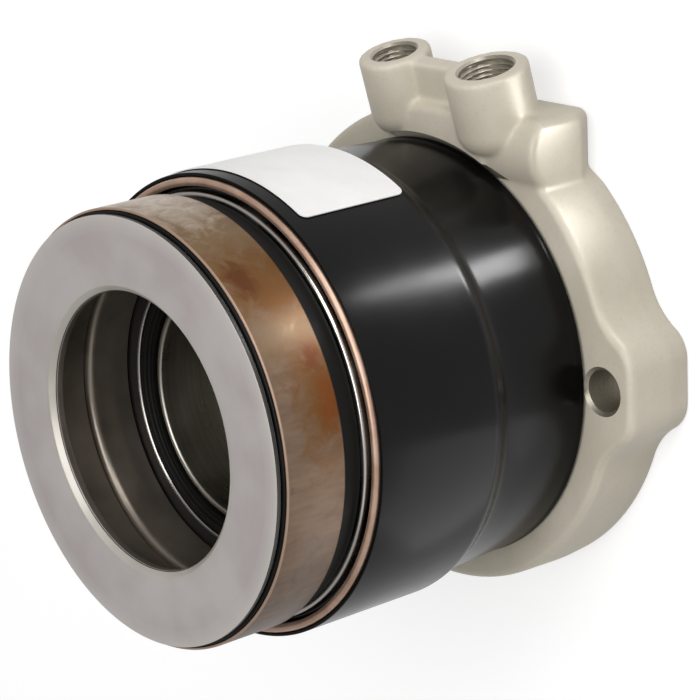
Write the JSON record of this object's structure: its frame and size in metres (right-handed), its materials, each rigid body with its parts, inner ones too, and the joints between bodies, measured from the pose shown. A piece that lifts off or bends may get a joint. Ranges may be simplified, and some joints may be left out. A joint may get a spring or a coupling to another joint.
{
  "type": "concentric slave cylinder",
  "caption": "Concentric slave cylinder: ring piston with release bearing and thrust ring, black sleeve over a preload spring, cast flange with bolt ears and angled fluid ports.",
  "frame": {"origin": "on the shaft axis, at the centre of the flange's mounting face", "axes": "+Z along the shaft axis from the mounting face to the thrust face, -Y towards the fluid ports, X through the bolt ears"},
  "size_m": [0.111, 0.1114, 0.093],
  "materials": {
    "cast_aluminium": "as cast, sealed, satin",
    "black_enamel": "gloss",
    "black_rubber": "matt",
    "ground_steel": "ground",
    "bright_steel": "bright",
    "stained_steel": "heat tinted and oily",
    "coppered_wire": "copper coated",
    "spring_steel": "oiled",
    "cage_polymer": "matt",
    "white_paper": "matt, blank"
  },
  "bodies": {
    "housing_body": {"housing": "cast_aluminium", "guide_tube": "bright_steel", "guide_tube_o_ring": "black_rubber", "sleeve_o_ring": "black_rubber", "mounting_face_o_ring": "black_rubber", "outer_sleeve": "black_enamel", "stop_ring": "coppered_wire", "label": "white_paper", "shaft_seal_case": "bright_steel", "shaft_seal_lip": "black_rubber", "garter_spring": "spring_steel", "spring_seat_rear": "ground_steel", "preload_spring": "spring_steel"},
    "piston_body": {"bearing_carrier": "bright_steel", "piston": "ground_steel", "piston_guide_band": "cage_polymer", "piston_seal": "black_rubber", "inner_wiper": "black_rubber", "bearing_outer_ring": "stained_steel", "dust_ring": "black_rubber", "bearing_front_seal": "black_rubber", "spring_seat_front": "ground_steel"},
    "thrust_body": {"thrust_ring": "ground_steel"},
    "cage_body": {"ball_cage": "cage_polymer", "bearing_ball_01": "bright_steel", "bearing_ball_02": "bright_steel", "bearing_ball_03": "bright_steel", "bearing_ball_04": "bright_steel", "bearing_ball_05": "bright_steel", "bearing_ball_06": "bright_steel", "bearing_ball_07": "bright_steel", "bearing_ball_08": "bright_steel", "bearing_ball_09": "bright_steel", "bearing_ball_10": "bright_steel", "bearing_ball_11": "bright_steel", "bearing_ball_12": "bright_steel"}
  },
  "joints": [
    {"name": "piston_stroke", "type": "slide", "parent": "housing_body", "child": "piston_body", "axis": [0, 0, 1], "range_m": [-0.015, 0], "stiffness_N_per_m": 2000, "springref_m": 0.03, "deforming": ["preload_spring"]},
    {"name": "bearing_spin", "type": "hinge", "parent": "piston_body", "child": "thrust_body", "pos_m": [0, 0, 0.0836], "axis": [0, 0, 1], "continuous": true},
    {"name": "cage_orbit", "type": "hinge", "parent": "piston_body", "child": "cage_body", "pos_m": [0, 0, 0.0836], "axis": [0, 0, 1], "continuous": true}
  ],
  "couplings": [
    {"joint": "cage_orbit", "follows": "bearing_spin", "ratio": 0.4725}
  ]
}
